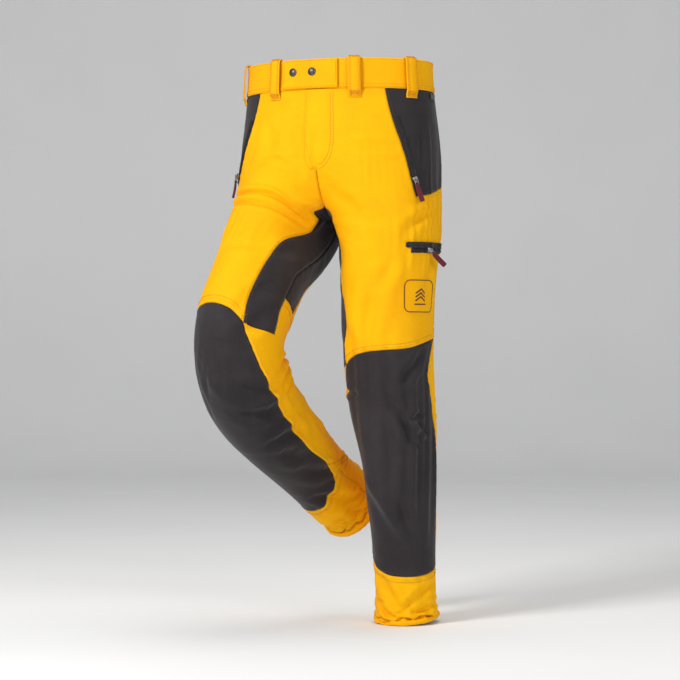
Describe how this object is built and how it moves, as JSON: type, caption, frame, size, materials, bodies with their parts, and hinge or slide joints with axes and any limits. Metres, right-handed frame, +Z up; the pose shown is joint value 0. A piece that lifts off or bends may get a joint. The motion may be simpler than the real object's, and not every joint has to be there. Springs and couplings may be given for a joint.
{
  "type": "protective work trousers",
  "caption": "Two-colour stretch work trousers in a stepping pose, with a press-stud waistband, belt loops, zipped hip and thigh pockets and bent knees.",
  "frame": {"origin": "centre of the waist opening, level with the waistband's top edge", "axes": "+X to the wearer's left, -Y forward, +Z up"},
  "size_m": [0.4151, 0.4419, 1.0589],
  "materials": {
    "yellow_softshell": "matte woven stretch softshell",
    "charcoal_softshell": "matte woven stretch softshell, slightly ribbed",
    "pocketing": "plain knitted lining",
    "gunmetal_hardware": "dark plated die-cast metal",
    "zip_chain": "moulded coil and woven tape",
    "pull_ribbon": "stiff rubberised ribbon",
    "badge_print": "thin transfer print",
    "woven_label": "woven label"
  },
  "bodies": {
    "hips_and_thighs": {"side_panel_L": "charcoal_softshell", "inner_thigh_panel_L": "charcoal_softshell", "crotch_gusset_L": "charcoal_softshell", "front_panel_L": "yellow_softshell", "seat_panel_L": "yellow_softshell", "back_thigh_panel_L": "yellow_softshell", "knee_yoke_L": "charcoal_softshell", "knee_fold_L": "charcoal_softshell", "side_panel_R": "charcoal_softshell", "inner_thigh_panel_R": "charcoal_softshell", "crotch_gusset_R": "charcoal_softshell", "front_panel_R": "yellow_softshell", "seat_panel_R": "yellow_softshell", "back_thigh_panel_R": "yellow_softshell", "knee_yoke_R": "charcoal_softshell", "knee_fold_R": "charcoal_softshell", "waistband_L": "yellow_softshell", "waistband_R": "yellow_softshell", "belt_loop_front_L": "yellow_softshell", "belt_loop_front_R": "yellow_softshell", "belt_loop_side_L": "yellow_softshell", "belt_loop_side_R": "yellow_softshell", "belt_loop_back_L": "yellow_softshell", "belt_loop_back_R": "yellow_softshell", "belt_loop_centre_back": "yellow_softshell", "snap_stud_1": "gunmetal_hardware", "snap_stud_2": "gunmetal_hardware", "pocket_L_zip": "zip_chain", "pocket_R_zip": "zip_chain", "fly_zip": "zip_chain", "fly_shield": "yellow_softshell", "cargo_zip": "zip_chain", "cargo_welt": "charcoal_softshell", "cargo_bag": "pocketing", "pocket_L_bag": "pocketing", "pocket_R_bag": "pocketing", "thigh_badge": "badge_print", "hip_tag": "woven_label"},
    "left_lower_leg": {"shin_panel_L": "charcoal_softshell", "calf_panel_L": "yellow_softshell", "cuff_panel_L": "yellow_softshell", "hem_band_L": "yellow_softshell"},
    "right_lower_leg": {"shin_panel_R": "charcoal_softshell", "calf_panel_R": "yellow_softshell", "cuff_panel_R": "yellow_softshell", "hem_band_R": "yellow_softshell"},
    "waistband_tab": {"waistband_tab": "yellow_softshell", "snap_cap_1": "gunmetal_hardware", "snap_cap_2": "gunmetal_hardware"},
    "fly_flap": {"fly_placket": "yellow_softshell"},
    "fly_slider": {"fly_slider": "gunmetal_hardware"},
    "left_pocket_slider": {"pocket_L_slider": "gunmetal_hardware"},
    "left_pocket_pull": {"pocket_L_pull": "pull_ribbon"},
    "right_pocket_slider": {"pocket_R_slider": "gunmetal_hardware"},
    "right_pocket_pull": {"pocket_R_pull": "pull_ribbon"},
    "thigh_pocket_slider": {"cargo_slider": "gunmetal_hardware"},
    "thigh_pocket_pull": {"cargo_pull": "pull_ribbon"}
  },
  "joints": [
    {"name": "left_knee", "type": "hinge", "parent": "hips_and_thighs", "child": "left_lower_leg", "pos_m": [0.10036, 0.00294, -0.61194], "axis": [1, 0, 0], "range_deg": [0, 55], "deforming": ["knee_fold_L"]},
    {"name": "right_knee", "type": "hinge", "parent": "hips_and_thighs", "child": "right_lower_leg", "pos_m": [-0.12218, -0.18872, -0.55641], "axis": [0.9681, -0.2081, 0.1393], "range_deg": [-40, 15], "deforming": ["knee_fold_R"]},
    {"name": "left_pocket_zip", "type": "slide", "parent": "hips_and_thighs", "child": "left_pocket_slider", "axis": [-0.2706, -0.1409, 0.9523], "range_m": [0, 0.118]},
    {"name": "right_pocket_zip", "type": "slide", "parent": "hips_and_thighs", "child": "right_pocket_slider", "axis": [0.3073, -0.137, 0.9417], "range_m": [0, 0.103]},
    {"name": "left_pocket_pull_swing", "type": "hinge", "parent": "left_pocket_slider", "child": "left_pocket_pull", "pos_m": [0.1789, -0.0778, -0.22072], "axis": [-0.68, -0.6722, -0.2927], "range_deg": [0, 140]},
    {"name": "right_pocket_pull_swing", "type": "hinge", "parent": "right_pocket_slider", "child": "right_pocket_pull", "pos_m": [-0.17638, -0.07798, -0.20407], "axis": [-0.6737, 0.6676, 0.317], "range_deg": [0, 140]},
    {"name": "thigh_pocket_zip", "type": "hinge", "parent": "hips_and_thighs", "child": "thigh_pocket_slider", "pos_m": [0.07602, 0.00225, -0.34724], "axis": [0.0028, 0.0007, 1], "range_deg": [-13, 30]},
    {"name": "thigh_pocket_pull_swing", "type": "hinge", "parent": "thigh_pocket_slider", "child": "thigh_pocket_pull", "pos_m": [0.19605, -0.03516, -0.34755], "axis": [-0.0028, -0.0007, -1], "range_deg": [0, 110]},
    {"name": "fly_zip", "type": "slide", "parent": "hips_and_thighs", "child": "fly_slider", "axis": [0, -0.0055, 1], "range_m": [-0.108, 0]},
    {"name": "waistband_tab_swing", "type": "hinge", "parent": "hips_and_thighs", "child": "waistband_tab", "pos_m": [0.04414, -0.11987, -0.02795], "axis": [-0.0156, 0.0203, 0.9997], "range_deg": [0, 70]},
    {"name": "fly_flap_swing", "type": "hinge", "parent": "hips_and_thighs", "child": "fly_flap", "pos_m": [0.03592, -0.12434, -0.09987], "axis": [-0.0303, 0.0536, 0.9981], "range_deg": [0, 30]}
  ]
}
